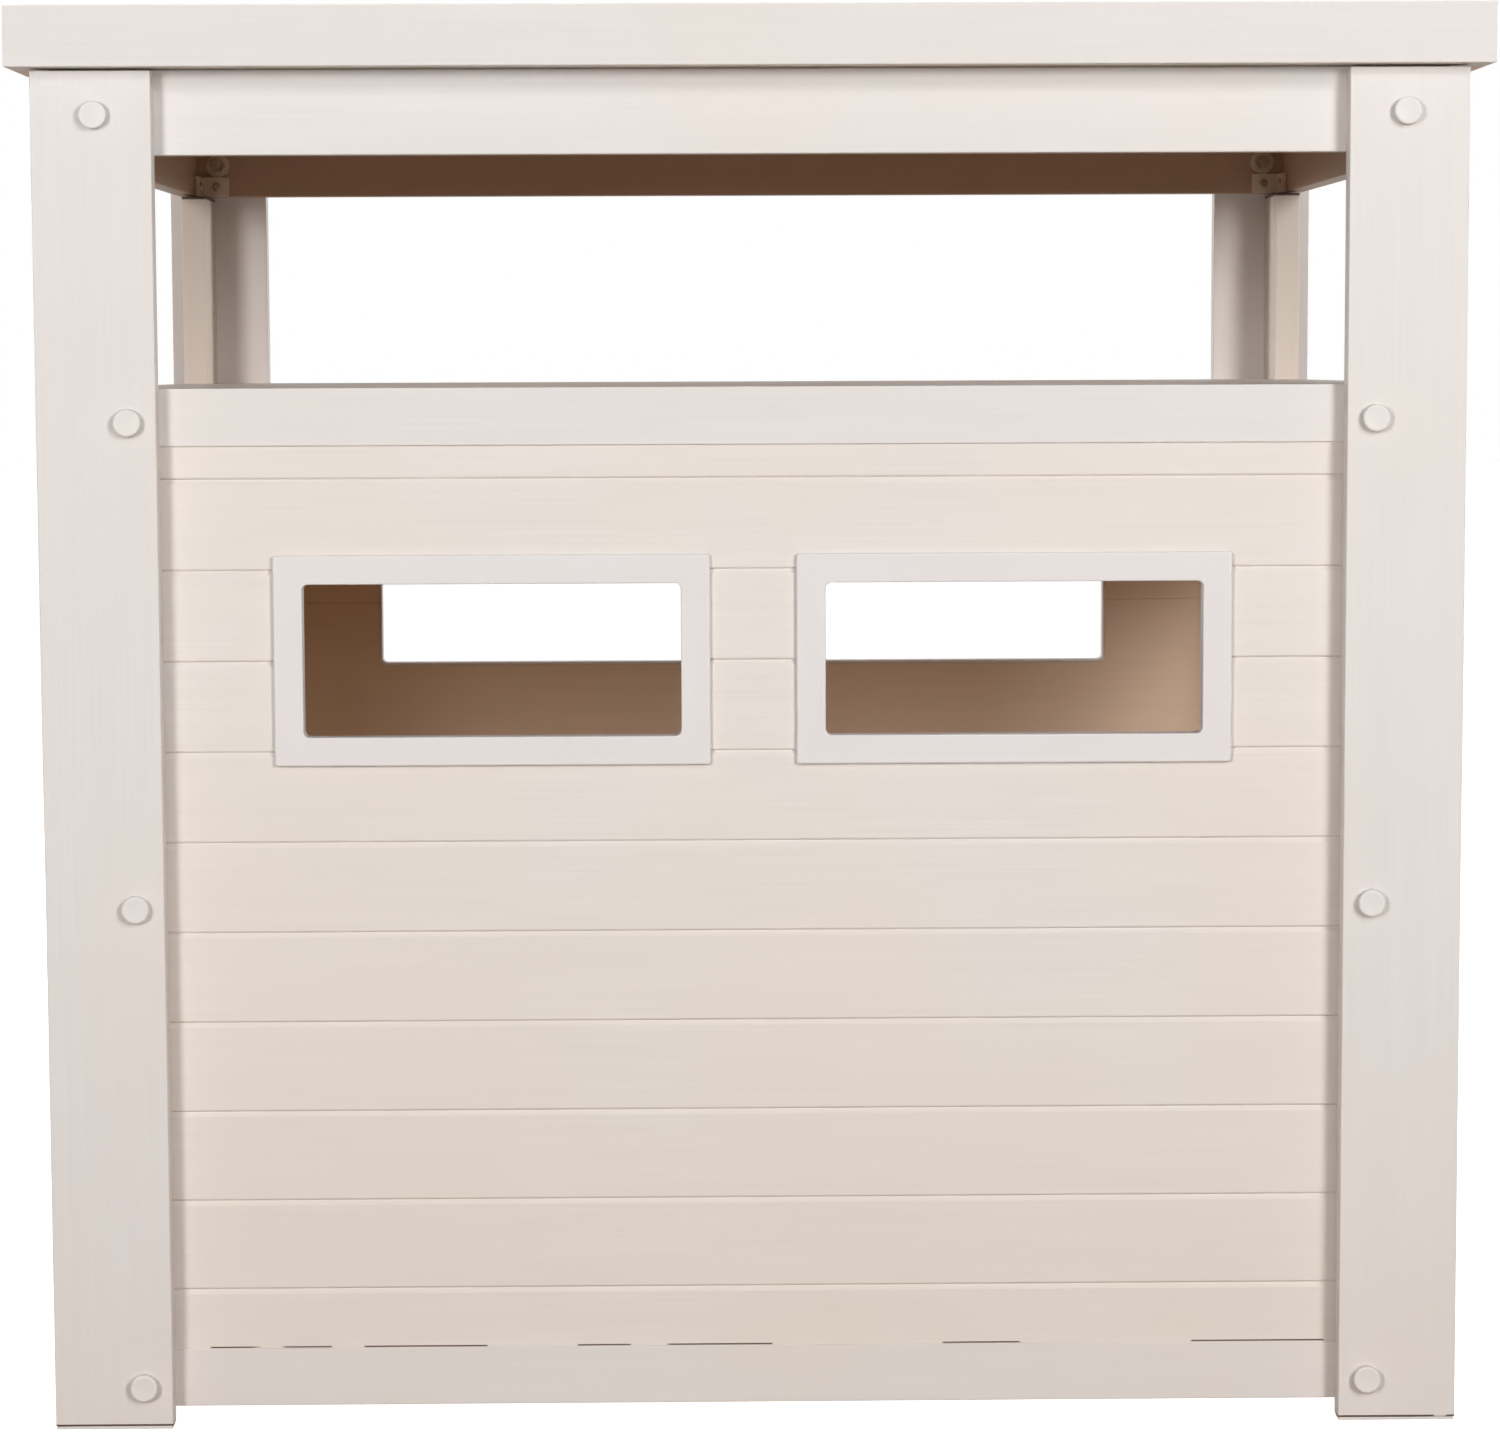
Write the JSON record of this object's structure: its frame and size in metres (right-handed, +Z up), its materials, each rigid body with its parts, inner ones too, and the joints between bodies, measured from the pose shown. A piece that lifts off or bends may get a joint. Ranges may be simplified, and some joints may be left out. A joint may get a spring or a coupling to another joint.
{
  "type": "calf hutch",
  "caption": "Free-standing animal hutch: a sided cabin with windows and a doorway, under a flat deck and a flat roof on corner boards.",
  "frame": {"origin": "on the ground under the middle of the hutch, midway between the four corner boards", "axes": "+Z up, the windowed front faces -Y, the doorway side is +X; +X is to the right of a person facing the front"},
  "size_m": [1.22, 0.918, 1.188],
  "materials": {
    "roof": "wood-plastic composite, fine brushed grain, satin",
    "frame_board": "wood-plastic composite, fine brushed grain, satin",
    "siding": "wood-plastic composite planks, fine brushed grain, bevelled grooves",
    "window_frame": "smooth moulded plastic, satin",
    "deck": "wood-plastic composite, fine brushed grain",
    "inner_bar": "wood-plastic composite, plain extruded",
    "bracket": "moulded plastic, matt",
    "cap": "moulded plastic, satin",
    "steel": "zinc-plated steel"
  },
  "bodies": {
    "root": {"roof_boards": "roof", "roof_edge_front": "roof", "roof_edge_rear": "roof", "roof_edge_left": "roof", "roof_edge_right": "roof", "roof_battens": "inner_bar", "post_front_left": "frame_board", "post_front_right": "frame_board", "post_rear_left": "frame_board", "post_rear_right": "frame_board", "foot_plates": "frame_board", "top_rail_front": "frame_board", "top_rail_rear": "frame_board", "top_rail_left": "frame_board", "top_rail_right": "frame_board", "stud_front_left": "frame_board", "stud_front_right": "frame_board", "stud_rear_left": "frame_board", "stud_rear_right": "frame_board", "deck_rail_front": "frame_board", "deck_rail_rear": "frame_board", "deck_rail_left": "frame_board", "deck_rail_right": "frame_board", "deck_boards": "deck", "deck_ledges": "inner_bar", "deck_joist": "inner_bar", "base_rail_front": "frame_board", "base_rail_rear": "frame_board", "base_rail_left": "frame_board", "base_rail_right": "frame_board", "front_panel_lower": "siding", "front_panel_middle": "siding", "front_panel_upper": "siding", "rear_panel_lower": "siding", "rear_panel_middle": "siding", "rear_panel_upper": "siding", "left_panel_lower": "siding", "left_panel_middle": "siding", "left_panel_upper": "siding", "right_lower_front": "siding", "right_lower_rear": "siding", "right_middle_front": "siding", "right_middle_rear": "siding", "right_panel_upper": "siding", "door_jamb_front": "frame_board", "door_jamb_rear": "frame_board", "door_lintel": "frame_board", "window_front_left": "window_frame", "window_front_right": "window_frame", "window_rear_left": "window_frame", "window_rear_right": "window_frame", "brackets_top": "bracket", "brackets_deck": "bracket", "brackets_base": "bracket", "bracket_screws": "steel", "bolt_caps": "cap", "frame_bolts": "steel", "frame_washers": "cap", "frame_nuts": "steel"}
  },
  "joints": []
}
